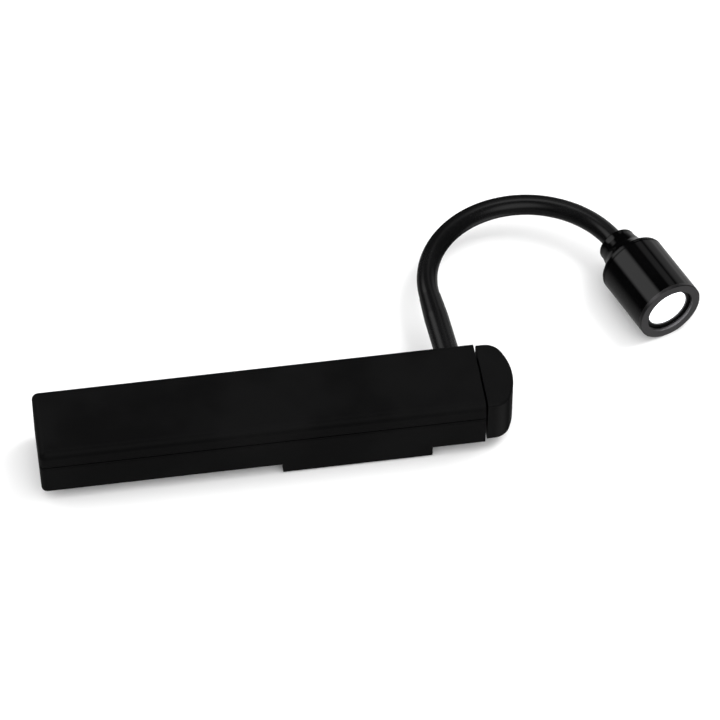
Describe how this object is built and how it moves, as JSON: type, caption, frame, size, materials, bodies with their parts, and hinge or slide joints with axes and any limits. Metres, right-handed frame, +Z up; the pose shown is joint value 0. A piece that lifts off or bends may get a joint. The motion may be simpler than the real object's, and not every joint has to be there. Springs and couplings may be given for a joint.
{
  "type": "clip-on reading lamp",
  "caption": "Battery reading lamp: flat black case with a spring clip below, a bendable neck from its side, and a small round head that throws a spot of light.",
  "frame": {"origin": "centre of the whole lamp's footprint, on the table it lies on", "axes": "+X along the case from its free end to the push cap, +Y from the case's front to the side the neck leaves, +Z up from the table"},
  "size_m": [0.1736, 0.0764, 0.0178],
  "materials": {
    "case_plastic": "fine satin black moulding",
    "cap_plastic": "smooth satin black moulding",
    "neck_rubber": "smooth satin black sleeve",
    "core_wire": "soft bendable wire, drawn",
    "screw_steel": "dark plated steel",
    "spring_steel": "drawn spring wire",
    "contact_plate": "nickel plate",
    "cell_jacket": "printed jacket shown plain",
    "board_laminate": "solder mask over glass laminate",
    "part_black": "moulded black",
    "plunger_plastic": "moulded plunger",
    "lead_black": "wire sleeve",
    "lead_red": "wire sleeve",
    "pad_rubber": "soft grip rubber",
    "head_enamel": "deep gloss black over metal",
    "lip_satin": "satin black over metal, turned",
    "lens_acrylic": "clear moulded lens, lit from behind",
    "reflector_bright": "vacuum plated bowl",
    "heat_aluminium": "plain turned",
    "led_phosphor": "phosphor block"
  },
  "bodies": {
    "case": {"lower_casing": "case_plastic", "upper_casing": "case_plastic", "casing_screws": "screw_steel", "cell_left": "cell_jacket", "cell_right": "cell_jacket", "contact_minus": "contact_plate", "contact_plus": "contact_plate", "battery_spring": "spring_steel", "circuit_board": "board_laminate", "switch_body": "part_black", "driver_coil": "part_black", "driver_chip": "part_black", "ground_lead": "lead_black", "plus_lead": "lead_red", "board_leads": "lead_red", "clip_pin": "spring_steel", "clip_spring": "spring_steel", "neck_sleeve_root": "neck_rubber", "neck_core_root": "core_wire", "neck_boot": "neck_rubber", "neck_ferrule": "contact_plate"},
    "push_cap": {"end_cap": "cap_plastic"},
    "switch_top": {"switch_plunger": "plunger_plastic"},
    "clip": {"clip_arm": "case_plastic", "clip_pad": "pad_rubber"},
    "neck_1": {"neck_sleeve_1": "neck_rubber", "neck_core_1": "core_wire"},
    "neck_2": {"neck_sleeve_2": "neck_rubber", "neck_core_2": "core_wire"},
    "neck_3": {"neck_sleeve_3": "neck_rubber", "neck_core_3": "core_wire"},
    "neck_4": {"neck_sleeve_4": "neck_rubber", "neck_core_4": "core_wire"},
    "neck_5": {"neck_sleeve_5": "neck_rubber", "neck_core_5": "core_wire"},
    "head": {"neck_sleeve_6": "neck_rubber", "neck_core_6": "core_wire", "head_collar": "head_enamel", "head_barrel": "head_enamel", "front_ring": "lip_satin", "lens_seat": "part_black", "lens": "lens_acrylic", "reflector": "reflector_bright", "led_board": "heat_aluminium", "led_chip": "led_phosphor", "heat_slug": "heat_aluminium", "neck_crimp": "contact_plate", "head_leads": "lead_red"}
  },
  "joints": [
    {"name": "clip_hinge", "type": "hinge", "parent": "case", "child": "clip", "pos_m": [0.00122, -0.02739, 0.00175], "axis": [0, -1, 0], "range_deg": [0, 8], "stiffness_Nm_per_rad": 0.5, "springref_deg": -14.32, "deforming": ["clip_spring"]},
    {"name": "cap_push", "type": "slide", "parent": "case", "child": "push_cap", "axis": [-1, 0, 0], "range_m": [0, 0.0004], "stiffness_N_per_m": 600, "springref_m": -0.0015},
    {"name": "switch_push", "type": "slide", "parent": "case", "child": "switch_top", "axis": [-1, 0, 0], "range_m": [0, 0.0004]},
    {"name": "neck_sweep_root", "type": "hinge", "parent": "case", "child": "neck_1", "pos_m": [0.01814, 0.00735, 0.0089], "axis": [0, 0, 1], "range_deg": [-8, 35]},
    {"name": "neck_lift_1", "type": "hinge", "parent": "neck_1", "child": "neck_2", "pos_m": [0.02021, 0.01956, 0.0089], "axis": [0.9189, -0.3945, 0], "range_deg": [-25, 30]},
    {"name": "neck_sweep_2", "type": "hinge", "parent": "neck_2", "child": "neck_3", "pos_m": [0.02764, 0.02947, 0.0089], "axis": [0, 0, 1], "range_deg": [-8, 35]},
    {"name": "neck_lift_3", "type": "hinge", "parent": "neck_3", "child": "neck_4", "pos_m": [0.03878, 0.03488, 0.0089], "axis": [0.213, -0.977, 0], "range_deg": [-25, 30]},
    {"name": "neck_sweep_4", "type": "hinge", "parent": "neck_4", "child": "neck_5", "pos_m": [0.05116, 0.0346, 0.0089], "axis": [0, 0, 1], "range_deg": [-8, 35]},
    {"name": "neck_lift_5", "type": "hinge", "parent": "neck_5", "child": "head", "pos_m": [0.06203, 0.02868, 0.0089], "axis": [-0.6713, -0.7412, 0], "range_deg": [-25, 30]}
  ],
  "couplings": [
    {"joint": "switch_push", "follows": "cap_push", "ratio": 1}
  ]
}
